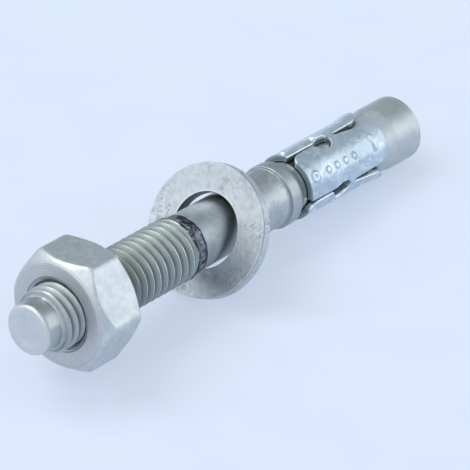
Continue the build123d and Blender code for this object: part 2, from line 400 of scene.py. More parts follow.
def shank_grid(crest, phi):
    """The rest of the bolt, from the marked band to the end of the cone: an outline
    with rounded corners turned about the axis. The ink stands a few hundredths proud
    in lumps, and the whole is a touch uneven."""
    corners = (
        (BAND_START, BAND_R, 0),
        (SHANK_START, BAND_R, 0.05),
        (SHANK_START, SHANK_R, 0.02),
        (COLLAR_START, SHANK_R, 0.12),
        (COLLAR_START, crest, 0.28),
        (BEVEL_START, crest, 0.35),
        (NECK_START, NECK_R, 0.25),
        (CONE_START, NECK_R, 0.6),
        (LAND_START, crest, 0.8),
        (BOLT_LENGTH, crest, 0.62),
        (BOLT_LENGTH, 0, 0),
    )
    lengths = [math.dist(a[:2], b[:2]) for a, b in zip(corners, corners[1:])]
    pieces = [max(1, round(length / 0.6)) for length in lengths]
    outline = [(*corner, count) for corner, count in zip(corners, pieces + [0])]
    s, r = section_rows(outline, np.zeros(1), 5)
    lumps = ripple(s, phi, 11, waves=16, along=1.6, round_axis=24)
    inked = smooth_step((s - BAND_START) / 0.3) * smooth_step((SHANK_START - s) / 0.2)
    lift = 0.05 * inked * lumps + 0.012 * ripple(s, phi, 12, along=0.25, round_axis=4)
    lift = lift * smooth_step(r / 2) * smooth_step((s - BAND_START) / 0.2)
    r = np.where(r > 0, np.minimum(r + lift, crest + 0.004), 0)
    return around(s, r, phi), None, True


def hexagon_radius(flat_phi, sizes):
    """The hexagon's radius at each angle from the middle of a flat. The corners are
    arcs of the corner radius, whose centres lie on the lines to the corners, and the
    flats are half the width over the cosine of the angle."""
    half = sizes.across_flats / 2
    off_corner = np.abs(flat_phi % (TURN / 6) - TURN / 12)
    centre = (half - sizes.corner_r) / math.cos(TURN / 12)
    sag = np.maximum(sizes.corner_r**2 - (centre * np.sin(off_corner)) ** 2, 0)
    arc = centre * np.cos(off_corner) + np.sqrt(sag)
    flat = half / np.cos(TURN / 12 - off_corner)
    tangent = TURN / 12 - math.atan(centre * math.sin(TURN / 12) / half)
    return np.where(off_corner < tangent, arc, flat)


def nut_outside_grid(sizes, hexagon, phi):
    """The nut's outside. Its section goes from the countersink over the front face,
    down the 45 degree chamfer to the hexagon's own radius at each angle, along the
    flat, and back over a chamfer of 30 degrees. Both end faces have rings of corners
    of their own, so that they can be slightly uneven."""
    front_drop = hexagon - sizes.front_r
    back_drop = (hexagon - sizes.back_r) * math.tan(math.radians(30))
    outline = (
        (0, sizes.sink_r, 0, 1),
        (0, 6.7, 0, 1),
        (0, 7.3, 0, 1),
        (0, sizes.front_r, 0.3, 1),
        (front_drop, hexagon, 0.75, 8),
        (NUT_HEIGHT - back_drop, hexagon, 0.4, 1),
        (NUT_HEIGHT, sizes.back_r, 0.5, 1),
        (NUT_HEIGHT, 6.8, 0, 1),
        (NUT_HEIGHT, sizes.sink_r, 0, 0),
    )
    s, r = section_rows(outline, phi, 6)
    dent = 0.03 * np.abs(ripple(s, phi, 21, along=0.08, round_axis=5))
    r = r - dent * smooth_step(r - 7.5)
    lift = 0.012 * (1 + ripple(r, phi, 22, along=0.3, round_axis=4))
    lift = lift * smooth_step((r - sizes.sink_r) / 0.3)
    s = np.where(s < 0.2, s + lift, s)
    return around(NUT_FRONT + s, r, phi), None, True


def nut_bore_grid(sizes, thread, phi):
    """The nut's bore. Its radius is the bolt thread's plus the play, and never less
    than the minor radius or than the sink at either end: a cone to the lip's radius, a
    short cylinder to the lip's depth, and a second cone."""
    minor_r, lip_depth, mouth_slope, throat_slope = 4.2, 0.9, 1.5, 1.2
    phi = np.append(phi, phi[0] + TURN)
    s, phi = thread_grid(NUT_FRONT, NUT_FRONT + NUT_HEIGHT, thread, phi)
    bolt_r = thread.crest_r - thread.depth * thread_drop(s, phi, thread)
    into = np.minimum(s - NUT_FRONT, NUT_FRONT + NUT_HEIGHT - s)
    throat = sizes.lip_r - throat_slope * np.maximum(into - lip_depth, 0)
    sink = np.maximum(sizes.sink_r - mouth_slope * into, throat)
    r = np.maximum(np.maximum(bolt_r + sizes.clearance, minor_r), sink)
    return around(s, r, phi)[::-1], None, False


def nut_grids(sizes, thread):
    """The nut's outside and its bore. The columns lie closest at the corners, where a
    sine of even steps puts them."""
    u = np.linspace(-1, 1, 22, endpoint=False)
    to_corner = np.radians(30 * np.sin(u * math.pi / 2))
    flat_phi = (to_corner + np.arange(6)[:, None] * TURN / 6).ravel()
    phi = flat_phi + math.radians(sizes.turn)
    outside = nut_outside_grid(sizes, hexagon_radius(flat_phi, sizes), phi)
    return [outside, nut_bore_grid(sizes, thread, phi)]


def washer_frame(sizes):
    """The washer's centre, its axis, and the way up across it."""
    lean = math.radians(sizes.lean)
    axis = ALONG * math.cos(lean) - UP * math.sin(lean)
    rise = UP * math.cos(lean) + ALONG * math.sin(lean)
    return TIP + sizes.place * MM * ALONG, axis, rise


def washer_grid(sizes):
    """The washer as one closed section swept round its own axis, which leans from the
    bolt's in the upright plane. The section starts and ends in the middle of the hole's
    wall. Both faces carry shallow hammer marks, and the disc is a touch out of flat."""
    middle, axis, rise = washer_frame(sizes)
    half, hole, outer = sizes.thickness / 2, sizes.hole_r, sizes.outer_r
    phi = even_turn(216)
    outline = (
        (0, hole, 0, 1),
        (-half, hole, 0.16, 26),
        (-half, outer, 0.33, 4),
        (half, outer, 0.24, 26),
        (half, hole, 0.16, 1),
        (0, hole, 0, 0),
    )
    x, r = section_rows(outline, phi, 4)
    on_face = smooth_step((r - hole - 0.3) / 0.6) * smooth_step((outer - 0.3 - r) / 0.5)
    marks = np.maximum(ripple(r, phi, 31, waves=14, along=0.45, round_axis=17) - 0.55, 0)
    x = x - np.sign(x) * 0.09 * marks * on_face
    x = x * (1 - 0.012 * (1 + np.cos(2 * phi + 1)))
    worn = 0.02 * np.abs(ripple(x, phi, 33, along=0.1, round_axis=9))
    r = np.where(r > outer - 0.4, r - worn, r)
    outward = np.cos(phi)[:, None] * rise - np.sin(phi)[:, None] * SIDE
    points = middle + (x[..., None] * axis + r[..., None] * outward) * MM
    return points, None, True


# The clip's slits, in degrees round it from the first one, and half their width. The
# slit numbered SEAM is open from end to end.
SLIT_ANGLES = (0.0, 97.0, 184.5, 272.0, 360.0)
SEAM = 2
SLIT_HALF = 0.18
# Where a slit's notch ends and where its tongues part, along the clip. The bridge that
# holds the panels together lies between them.
NOTCH_END = 9.1
TONGUE_START = 10.2
# The edge after a slit and the edge before it, as the angles go: the cut corner, the
# notch, the gap beside the tongue and the tongue's rounded corner
Edge = namedtuple(
    "Edge",
    "cut_width cut_fade notch_start notch_ramp notch_middle notch_depth "
    "tongue_gap tongue_slope end_width end_length",
)
AFTER_SLIT = Edge(1.37, 0.62, 5.1, 1.45, 6.9, 1.68, 0.25, 0.165, 1.5, 1.5)
BEFORE_SLIT = Edge(0.17, 0.35, 5.7, 1.8, 7.7, 0.38, 0.1, 0.02, 2.6, 3.2)
# The middle of the front panel in degrees, and the places along the clip of the boss,
# the rib and the pips pressed into it
PANEL_MIDDLE = 55
BOSS_PLACE = 1.6
RIB_PLACE = 15.2
PIP_PLACES = (4.6, 6.6, 8.6, 10.6)
# The nibs bent up at the slits: place along the clip, degrees, height
NIBS = ((0.8, 343, 0.4), (7.3, 347, 0.4), (8.3, 352, 0.3), (0.9, 117, 0.26), (5.6, 119, 0.26))


def edge_gap(s, length, edge):
    """How far a panel's edge lies from the middle of its slit, at each place s. From
    the corner cut it falls off to the slit, rises by a smooth step into the notch, and
    closes at the bridge along a quarter ellipse. Beyond the bridge it opens evenly,
    and the tongue's corner adds another quarter ellipse."""
    slit = SLIT_HALF + edge.cut_width * np.exp(-s / edge.cut_fade)
    slit = slit + edge.notch_depth * smooth_step((s - edge.notch_start) / edge.notch_ramp)
    closing = np.clip((s - edge.notch_middle) / (NOTCH_END - edge.notch_middle), 0, 1)
    slit = slit * np.sqrt(1 - closing**2)
    opening = edge.tongue_gap + edge.tongue_slope * np.maximum(s - TONGUE_START, 0)
    opening = opening * smooth_step((s - TONGUE_START) / 0.3)
    turning = np.clip((s - length + edge.end_length) / edge.end_length, 0, 1)
    opening = opening + edge.end_width * (1 - np.sqrt(1 - turning**2))
    return np.where(s < NOTCH_END, slit, opening)


def clip_marks(s, phi, start, r):
    """Height of what is pressed out of the front panel, which is a round boss with a
    dimple, a rib across the tongue and four plain pips in a row, and of the nibs bent
    up at the edges of the slits."""
    height = 0.2 * dome(s, phi, start + BOSS_PLACE, PANEL_MIDDLE, r, 0.78, 0.3)
    height = height - 0.17 * dome(s, phi, start + BOSS_PLACE, PANEL_MIDDLE, r, 0.34, 0.3)
    across = smooth_step((0.34 - np.abs(s - (start + RIB_PLACE))) / 0.16)
    off_middle = np.abs(phi - math.radians(PANEL_MIDDLE - 4))
    ends = smooth_step((math.radians(15) - off_middle) * r / 0.3)
    height = np.maximum(height, 0.36 * across * ends)
    for place in PIP_PLACES:
        pip = dome(s, phi, start + place, PANEL_MIDDLE, r, 0.46, 0.3)
        height = np.maximum(height, 0.18 * pip)
    for place, angle, high in NIBS:
        nib = dome(s, phi, start + place, angle, r, 0.6, 0.55)
        height = np.maximum(height, high * nib)
    return height


def rounded_skin(level, outward, edge_r, edges, gaps, middle_r):
    """One skin of a strip from edge to edge, as angles and radii. Its two corners are
    quarter circles of the edge radius, and never wider than 1.2 times the gap, so
    they fade out where two strips meet. outward is 1 on the outer skin and -1 inside."""
    bend = np.linspace(0, TURN / 4, 4)
    inward, fall = 1 - np.cos(bend), 1 - np.sin(bend)
    first, last = [edge[:, None] for edge in edges]
    first_r, last_r = [np.minimum(edge_r, 1.2 * gap)[:, None] for gap in gaps]
    start = first + first_r / middle_r
    end = last - last_r / middle_r
    u = np.linspace(0, 1, 46)[1:-1]
    first_bend = first + first_r * inward / middle_r
    last_bend = last - last_r * inward[::-1] / middle_r
    phi = np.hstack([first_bend, start + u * (end - start), last_bend])
    plain = np.zeros((len(level), len(u)))
    drop = np.hstack([first_r * fall, plain, last_r * fall[::-1]])
    return phi, level[:, None] - outward * drop


def strip_faces(rows, half, open_first, open_last):
    """Corner numbers of a strip's faces, with half of each row's corners on each skin:
    round the section from row to row, without the walls where an edge is shut, and
    across the section at both ends."""
    faces = grid_faces(rows, 2 * half, True).reshape(rows - 1, 2 * half, 4)
    keep = np.ones((rows - 1, 2 * half), bool)
    keep[:, 2 * half - 1] = open_first
    keep[:, half - 1] = open_last
    pair = np.arange(half - 1)
    cap = np.stack([pair, 2 * half - 1 - pair, 2 * half - 2 - pair, pair + 1], -1)
    far_cap = cap[:, ::-1] + (rows - 1) * 2 * half
    return np.concatenate([faces[keep], cap, far_cap])


def clip_rows(length, near, far):
    """Places of the rows along the clip: about a step apart, and closer where the two
    ends, with their edge radii near and far, and the notch are rounded."""
    step, least, notch_r = 0.17, 0.006, 0.5
    quarter = np.linspace(0, TURN / 4, 6)
    stretches = ((near, NOTCH_END), (NOTCH_END, TONGUE_START), (TONGUE_START, length - far))
    rows = [np.linspace(a, b, 1 + round((b - a) / step)) for a, b in stretches]
    rows.append(near * (1 - np.cos(quarter)))
    rows.append(NOTCH_END - notch_r * (1 - np.sin(quarter)))
    rows.append(length - far * (1 - np.sin(quarter)))
    s = np.unique(np.concatenate(rows).round(4))
    fixed = np.isin(s, (NOTCH_END, TONGUE_START, length))
    return s[np.append(True, np.diff(s) > least) | fixed]


def clip_grids(sizes):
    """The clip as four strips of rolled sheet that meet at the bridges. Each row of a
    strip is a closed section: over the outer skin from one edge to the other and back
    under the inner skin. At both ends the section shrinks along a quarter circle. The
    tongues rise over the cone by a smooth step."""
    length, near, far, flare_length = sizes.length, 0.16, 0.3, 3.4
    outer_edge_r, inner_edge_r = 0.22, 0.12
    s = clip_rows(length, near, far)
    rise = sizes.flare * smooth_step((s - (length - flare_length)) / flare_length)
    near_in = near - np.sqrt(near**2 - np.maximum(near - s, 0) ** 2)
    far_in = far - np.sqrt(far**2 - np.clip(s - length + far, 0, far) ** 2)
    low = sizes.inner_r + rise + near_in + 0.3 * far_in
    high = sizes.inner_r + sizes.sheet + rise - near_in - 1.2 * far_in
    middle_r = sizes.inner_r + sizes.sheet / 2
    fade = smooth_step(s / 0.3)[:, None] * smooth_step((length - s) / 0.5)[:, None]
    place = sizes.start + s[:, None]
    grids = []
    for index in range(4):
        turns = np.radians(np.add(SLIT_ANGLES[index : index + 2], sizes.first_slit))
        gaps = [edge_gap(s, length, edge) for edge in (AFTER_SLIT, BEFORE_SLIT)]
        for side in (0, 1):
            if index + side == SEAM:
                gaps[side] = np.maximum(gaps[side], SLIT_HALF)
        edges = (turns[0] + gaps[0] / middle_r, turns[1] - gaps[1] / middle_r)
        phi, r = rounded_skin(high, 1, outer_edge_r, edges, gaps, middle_r)
        r = r + fade * clip_marks(place, phi % TURN, sizes.start, middle_r + 0.5)
        low_phi, low_r = rounded_skin(low, -1, inner_edge_r, edges, gaps, middle_r)
        phi, r = np.hstack([phi, low_phi[:, ::-1]]), np.hstack([r, low_r[:, ::-1]])
        opened = [(gap[:-1] > 0) | (gap[1:] > 0) for gap in gaps]
        faces = strip_faces(len(s), low_phi.shape[1], *opened)
        grids.append((around(place, r, phi), faces, False))
    return grids


# ---------------------------------------------------------------- materials


class Tree:
    """A short way to add nodes to a node tree and to link them."""

    def __init__(self, tree):
        self.tree = tree

    def add(self, kind, inputs=(), **settings):
        """A new node with its settings, and its inputs linked or set."""
        node = self.tree.nodes.new("ShaderNode" + kind)
        for name, value in settings.items():
            setattr(node, name, value)
        self.fill(node.inputs, dict(inputs))
        return node

    def fill(self, sockets, values):
        """Links or sets each socket that values names."""
        for name, value in values.items():
            self.put(sockets[name], value)

    def put(self, socket, value):
        """Links an output to the socket, or sets the socket's own value."""
        if isinstance(value, bpy.types.NodeSocket):
            self.tree.links.new(value, socket)
        else:
            socket.default_value = value

    def maths(self, operation, a, b=0.0, clamp=False):
        """One operation on two numbers."""
        node = self.add("Math", {0: a, 1: b}, operation=operation, use_clamp=clamp)
        return node.outputs[0]

    def times(self, a, b):
        """The product of two numbers."""
        return self.maths("MULTIPLY", a, b)

    def vector(self, operation, a, b=(0.0, 0.0, 0.0)):
        """One operation on two vectors, as the node's outputs."""
        return self.add("VectorMath", {0: a, 1: b}, operation=operation).outputs

    def noise(self, vector, scale, detail=3.0, roughness=0.55, distortion=0.0):
        """Noise between 0 and 1 at a scale in waves per metre."""
        inputs = {"Vector": vector, "Scale": scale, "Detail": detail}
        inputs.update({"Roughness": roughness, "Distortion": distortion})
        return self.add("TexNoise", inputs).outputs[0]

    def ramp(self, value, low, high, to_low=0.0, to_high=1.0):
        """value moved smoothly from the first range to the second, and held there."""
        inputs = {"Value": value, "From Min": low, "From Max": high}
        inputs.update({"To Min": to_low, "To Max": to_high})
        return self.add("MapRange", inputs, interpolation_type="SMOOTHSTEP").outputs[0]

    def between(self, value, rise, fall):
        """1 where value lies between two places and 0 outside. It goes up smoothly
        over the two numbers of rise, and down over those of fall."""
        return self.times(self.ramp(value, *rise), self.ramp(value, *fall[::-1]))

    def blend(self, share, a, b):
        """Colour a turned into b by a share."""
        return self.add("Mix", {0: share, 6: a, 7: b}, data_type="RGBA").outputs[2]

    def tint(self, base, *marks):
        """Colour base with marks of (rgb, mask, share) laid on it in turn. Where its
        mask is 1, a mark turns the colour into its own by its share."""
        for rgb, mask, share in marks:
            base = self.blend(self.times(mask, share), base, colour(rgb))
        return base


def colour(rgb):
    """A colour with full alpha."""
    return (*rgb, 1.0)


def make_group(name, inputs, outputs):
    """An empty shader node group, its tree helper and its two ends. inputs and outputs
    give the kind of each named socket."""
    group = bpy.data.node_groups.new(name, "ShaderNodeTree")
    for side, sockets in (("INPUT", inputs), ("OUTPUT", outputs)):
        for socket, kind in sockets.items():
            kind = "NodeSocket" + kind
            group.interface.new_socket(name=socket, in_out=side, socket_type=kind)
    start = group.nodes.new("NodeGroupInput")
    end = group.nodes.new("NodeGroupOutput")
    return group, Tree(group), start.outputs, end.inputs


def axis_place_group():
    """Where a point lies about an axis: Along is its distance from the origin along the
    axis, and Radius its distance from the axis, both in millimetres."""
    inputs = {"Point": "Vector", "Origin": "Vector", "Axis": "Vector"}
    outputs = {"Along": "Float", "Radius": "Float"}
    group, tree, given, out = make_group("axis_place", inputs, outputs)
    offset = tree.vector("SUBTRACT", given["Point"], given["Origin"])[0]
    along = tree.vector("DOT_PRODUCT", offset, given["Axis"])["Value"]
    length = tree.vector("LENGTH", offset)["Value"]
    square = tree.times(length, length)
    square = tree.maths("SUBTRACT", square, tree.times(along, along))
    radius = tree.maths("SQRT", tree.maths("MAXIMUM", square, 0.0))
    tree.fill(out, {"Along": tree.times(along, 1 / MM), "Radius": tree.times(radius, 1 / MM)})
    return group


def zinc_coat_group():
    """A matt zinc coating: soft grey blotches a few millimetres wide, fine grain, small
    dull pits, and a height for the bump."""
    inputs = {"Point": "Vector", "Pale": "Color", "Dull": "Color"}
    inputs.update({"Blotch": "Float", "Pits": "Float"})
    outputs = {"Color": "Color", "Roughness": "Float", "Height": "Float"}
    group, tree, given, out = make_group("zinc_coat", inputs, outputs)
    point = given["Point"]
    broad = tree.ramp(tree.noise(point, 210.0, 4.0, 0.6, 0.4), 0.34, 0.66)
    grain = tree.noise(point, 2600.0, 4.0, 0.7)
    fine = tree.noise(point, 900.0, 3.0, 0.6)
    pits = tree.ramp(tree.noise(point, 620.0, 5.0, 0.75, 1.2), 0.63, 0.72)
    pits = tree.times(pits, given["Pits"])

    blotches = tree.times(broad, given["Blotch"])
    base = tree.blend(blotches, given["Pale"], given["Dull"])
    mottle = tree.maths("ADD", tree.times(grain, 0.4), tree.times(fine, 0.6))
    toned = tree.vector("MULTIPLY", base, tree.ramp(mottle, 0.3, 0.7, 0.86, 1.12))[0]
    dark = tree.vector("MULTIPLY", toned, (0.5, 0.5, 0.52))[0]
    rough = tree.ramp(grain, 0.3, 0.7, 0.34, 0.46)
    rough = tree.maths("ADD", rough, tree.times(pits, 0.2), True)
    height = tree.maths("ADD", tree.times(grain, 0.25), tree.times(fine, 0.75))
    height = tree.maths("SUBTRACT", height, tree.times(pits, 0.8))
    shown = tree.blend(pits, toned, dark)
    tree.fill(out, {"Color": shown, "Roughness": rough, "Height": height})
    return group


def new_material(name):
    """A material with one Principled BSDF, the helper for its tree, its shader and the
    object's own coordinates."""
    material = bpy.data.materials.new(name)
    material.use_nodes = True
    tree = Tree(material.node_tree)
    material.node_tree.nodes.clear()
    shader = tree.add("BsdfPrincipled")
    end = tree.add("OutputMaterial", {"Surface": shader.outputs[0]})
    end.is_active_output = True
    point = tree.add("TexCoord").outputs["Object"]
    return material, tree, shader, point


def place_group(tree, name, maker, inputs):
    """The outputs of a node group placed in a tree. The group itself is made once."""
    group = bpy.data.node_groups.get(name) or maker()
    node = tree.add("Group", node_tree=group)
    tree.fill(node.inputs, inputs)
    return node.outputs


def axis_place(tree, point, origin=TIP, axis=ALONG):
    """Where a point lies about an axis, which is the bolt's if none is given."""
    inputs = {"Point": point, "Origin": tuple(origin), "Axis": tuple(axis)}
    return place_group(tree, "axis_place", axis_place_group, inputs)


def metal_shader(tree, shader, base, rough, metallic, specular, bump):
    """Gives a shader its colour, roughness and shine. bump holds the inputs of the
    Bump node that feeds its normal."""
    surface = {"Base Color": base, "Roughness": rough, "Metallic": metallic}
    surface["Specular IOR Level"] = specular
    surface["Normal"] = tree.add("Bump", bump).outputs[0]
    tree.fill(shader.inputs, surface)


def zinc_material(name, pale, dull, blotch, pits, finish, axis=(TIP, ALONG)):
    """A matt zinc finish. finish(tree, base, rough, height, place, point) gives back
    the colour, roughness and height with the piece's own marks on them. place says
    where a point lies about the axis, which is an origin and a direction."""
    material, tree, shader, point = new_material(name)
    inputs = {"Point": point, "Pale": colour(pale), "Dull": colour(dull)}
    inputs.update({"Blotch": blotch, "Pits": pits})
    coat = place_group(tree, "zinc_coat", zinc_coat_group, inputs)
    base, rough, height = coat["Color"], coat["Roughness"], coat["Height"]
    place = axis_place(tree, point, *axis)
    base, rough, height = finish(tree, base, rough, height, place, point)
    bump = {"Height": height, "Strength": 0.55, "Distance": 0.04 * MM}
    metal_shader(tree, shader, base, rough, 0.9, 0.4, bump)
    return material


# Colours of the marks on the bolt's coating
GRIME = (0.27, 0.315, 0.30)
# Grime and painted shade in the thread's roots
ROOT_GRIME_AND_SHADE = (0.11, 0.13, 0.12)
# Polished wear and a painted highlight on the crests
CREST_WEAR_AND_HIGHLIGHT = (0.78, 0.82, 0.79)
TIP_FACE = (0.74, 0.77, 0.78)
TURNED_METAL = (0.43, 0.47, 0.48)
# Painted shadow of the washer on the shank where it lies in the hole
PAINTED_WASHER_SHADOW = (0.10, 0.115, 0.115)
THIN_INK = (0.235, 0.245, 0.31)
# Painted shade on the neck under the clip, which shows in its gaps and at its ends
PAINTED_SHADE_UNDER_CLIP = (0.03, 0.035, 0.035)
# Colours of the marks on the washer's coating and the nut's
# Painted shade on the wall of the washer's hole
PAINTED_SHADE_HOLE_WALL = (0.07, 0.08, 0.072)
# Painted highlight on the lip of the washer's hole
PAINTED_HIGHLIGHT_HOLE_LIP = (0.85, 0.90, 0.92)
# Painted shade in a thin line round the washer's rim
PAINTED_SHADE_RIM_CREASE = (0.17, 0.20, 0.19)
WASHER_PITS = (0.33, 0.345, 0.38)
WASHER_SPECKS = (0.9, 0.94, 0.98)
NUT_FACE = (0.54, 0.54, 0.55)
# Painted light in the nut's countersink
PAINTED_LIGHT_COUNTERSINK = (0.78, 0.81, 0.88)
# Colours of the marks on the clip's plating
STAIN = (0.38, 0.48, 0.57)
MILKY_STAIN = (0.82, 0.93, 0.97)
CLIP_SPECKS = (0.92, 0.97, 1.0)
# Painted glint on the rims along the clip's slits
PAINTED_GLINT_SLIT_RIM = (0.95, 0.98, 1.0)
# Painted glint on the clip's pressed marks and nibs
PAINTED_GLINT_RAISED_MARK = (0.90, 0.95, 1.0)
CUT_END = (0.17, 0.24, 0.23)
# Painted shade on the inside of the clip
PAINTED_SHADE_CLIP_INSIDE = (0.16, 0.21, 0.21)
# Bands round the bolt, in the order they are laid on: where each comes in and goes out
# along the bolt, its colour and its share. Four of them are painted shade or painted light.
BOLT_BANDS = (
    ((12.0, 13.5), (15.5, 24.0), (0.13, 0.15, 0.14), 0.65),  # painted shade on the thread behind the nut
    ((53.3, 53.5), (55.4, 55.6), (0.36, 0.40, 0.41), 0.4),  # duller collar
    ((74.0, 75.5), (84.0, 85.0), (0.64, 0.69, 0.71), 0.4),  # paler end of the cone
    ((55.5, 56.5), (57.6, 57.8), (0.74, 0.80, 0.84), 0.6),  # painted light on the bevel and neck
    ((57.66, 57.85), (62.6, 63.2), PAINTED_SHADE_UNDER_CLIP, 0.88),  # painted shade below the clip's first half
    ((66.8, 67.2), (72.8, 73.4), PAINTED_SHADE_UNDER_CLIP, 0.88),  # painted shade below its second half
)


def thread_marks(tree, base, rough, place):
    """Grime on the thread, with grime and painted shade in its roots, and crests
    lightened as polished wear and as a painted highlight.
    """
    along, radius = place["Along"], place["Radius"]
    threaded = tree.between(along, (3.0, 3.6), (31.8, 32.0))
    grime = tree.times(threaded, tree.ramp(along, 5.5, 9.0, 0.3, 1.0))
    # The roots carry grime and painted shade, the crests polished wear and a painted
    # highlight
    root = tree.times(tree.ramp(radius, 4.75, 4.36), threaded)
    crest = tree.times(tree.ramp(radius, 4.925, 4.965), threaded)
    marks = ((GRIME, grime, 0.75), (ROOT_GRIME_AND_SHADE, root, 0.75), (CREST_WEAR_AND_HIGHLIGHT, crest, 0.75))
    return tree.tint(base, *marks), tree.maths("SUBTRACT", rough, tree.times(crest, 0.1))


def tip_marks(tree, base, rough, height, along):
    """A paler end face, and a darker, smoother turned cylinder behind it."""
    face = tree.ramp(along, 0.5, 0.3)
    turned = tree.between(along, (0.5, 0.9), (2.7, 3.2))
    base = tree.tint(base, (TIP_FACE, face, 0.6), (TURNED_METAL, turned, 0.85))
    rough = tree.times(rough, tree.maths("SUBTRACT", 1.0, turned))
    rough = tree.maths("ADD", rough, tree.times(turned, 0.27))
    smooth = tree.maths("SUBTRACT", 1.0, tree.times(turned, 0.9))
    return base, rough, tree.times(height, smooth)


def ink_ring(tree, base, rough, ink, along, point):
    """The ink below the thread. Its edges are ragged by noise, it is thin and greyer
    in patches between them, and small flakes of it are missing."""
    ragged = tree.noise(point, 420.0, 4.0, 0.65)
    edge = tree.maths("ADD", along, tree.maths("SUBTRACT", ragged, 0.5))
    inked = tree.between(edge, (31.6, 31.8), (34.1, 34.3))
    thin = tree.ramp(tree.noise(point, 600.0, 4.0, 0.65, 0.6), 0.36, 0.56)
    thin = tree.times(thin, tree.between(edge, (32.0, 32.5), (33.6, 34.1)))
    paint = tree.tint(colour(ink), (THIN_INK, thin, 0.85))
    flakes = tree.ramp(tree.noise(point, 1050.0, 4.0, 0.7, 0.8), 0.56, 0.63)
    inked = tree.times(inked, tree.maths("SUBTRACT", 1.0, flakes))
    base = tree.blend(inked, base, paint)
    return base, tree.maths("SUBTRACT", rough, tree.times(inked, 0.12))


def bolt_finish(ink, hole):
    """The bolt's thread, tip, bands and ink ring. Among the bands are painted shade behind
    the nut and under the clip, and painted light on the bevel and neck, and the stretch of
    shank where it lies in the washer's hole gets a painted shadow. hole is the hole's
    centre and direction."""

    def finish(tree, base, rough, height, place, point):
        along = place["Along"]
        base, rough = thread_marks(tree, base, rough, place)
        base, rough, height = tip_marks(tree, base, rough, height, along)
        for rise, fall, rgb, share in BOLT_BANDS:
            base = tree.tint(base, (rgb, tree.between(along, rise, fall), share))
        # Painted shadow of the washer, darkening the shank where it lies in the hole
        through = axis_place(tree, point, *hole)["Along"]
        washer_shadow = tree.between(through, (-3.0, -1.2), (0.9, 1.4))
        base = tree.tint(base, (PAINTED_WASHER_SHADOW, washer_shadow, 0.5))
        base, rough = ink_ring(tree, base, rough, ink, along, point)
        return base, rough, height

    return finish


def washer_finish(tree, base, rough, height, place, point):
    """A punched hole with painted shade on its wall and a painted highlight on its lip,
    a thin line of painted shade round the rim, and patches of small purplish pits and
    bright specks on the faces."""
    along, radius = place["Along"], place["Radius"]
    # Painted shade on the hole's wall
    wall = tree.ramp(radius, 5.70, 5.64)
    # Painted highlight on the lip of the hole
    lip = tree.between(radius, (5.68, 5.74), (5.84, 5.94))
    # Painted shade in a thin line round the rim; its share comes and goes with noise
    crease_shade = tree.between(along, (-0.70, -0.64), (-0.56, -0.48))
    crease_shade = tree.times(crease_shade, tree.ramp(radius, 9.8, 9.9))
    worn = tree.ramp(tree.noise(point, 160.0, 2.0), 0.35, 0.6, 0.3, 1.0)
    patch = tree.ramp(tree.noise(point, 120.0, 2.0, 0.5, 0.6), 0.40, 0.58)
    pits = tree.ramp(tree.noise(point, 1150.0, 4.0, 0.75, 0.8), 0.52, 0.60)
    pits = tree.times(tree.times(pits, patch), 0.85)
    specks = tree.ramp(tree.noise(point, 1700.0, 3.0, 0.6), 0.66, 0.72)
    base = tree.tint(base, (PAINTED_SHADE_HOLE_WALL, wall, 0.92), (PAINTED_HIGHLIGHT_HOLE_LIP, lip, 0.35))
    base = tree.tint(base, (PAINTED_SHADE_RIM_CREASE, crease_shade, worn), (WASHER_PITS, pits, 1.0))
    base = tree.tint(base, (WASHER_SPECKS, specks, 0.6))
    return base, rough, tree.maths("SUBTRACT", height, pits)


def nut_finish(tree, base, rough, height, place, point):
    """A duller, faintly pink ring on the nut's front face, with faint turned lines that
    follow the sine of the radius, and painted light in the countersink inside it."""
    into, radius = tree.maths("SUBTRACT", place["Along"], NUT_FRONT), place["Radius"]
    front = tree.ramp(into, 0.42, 0.22)
    rough = tree.maths("ADD", rough, tree.times(front, 0.08))
    lines = tree.maths("SINE", tree.times(radius, 21.0))
    lines = tree.times(tree.times(lines, front), 0.5)
    # Painted light in the countersink
    sink_light = tree.times(tree.ramp(into, 0.05, 0.2), tree.ramp(radius, 6.0, 5.9))
    base = tree.tint(base, (NUT_FACE, front, 0.7), (PAINTED_LIGHT_COUNTERSINK, sink_light, 0.7))
    return base, rough, tree.maths("ADD", height, lines)


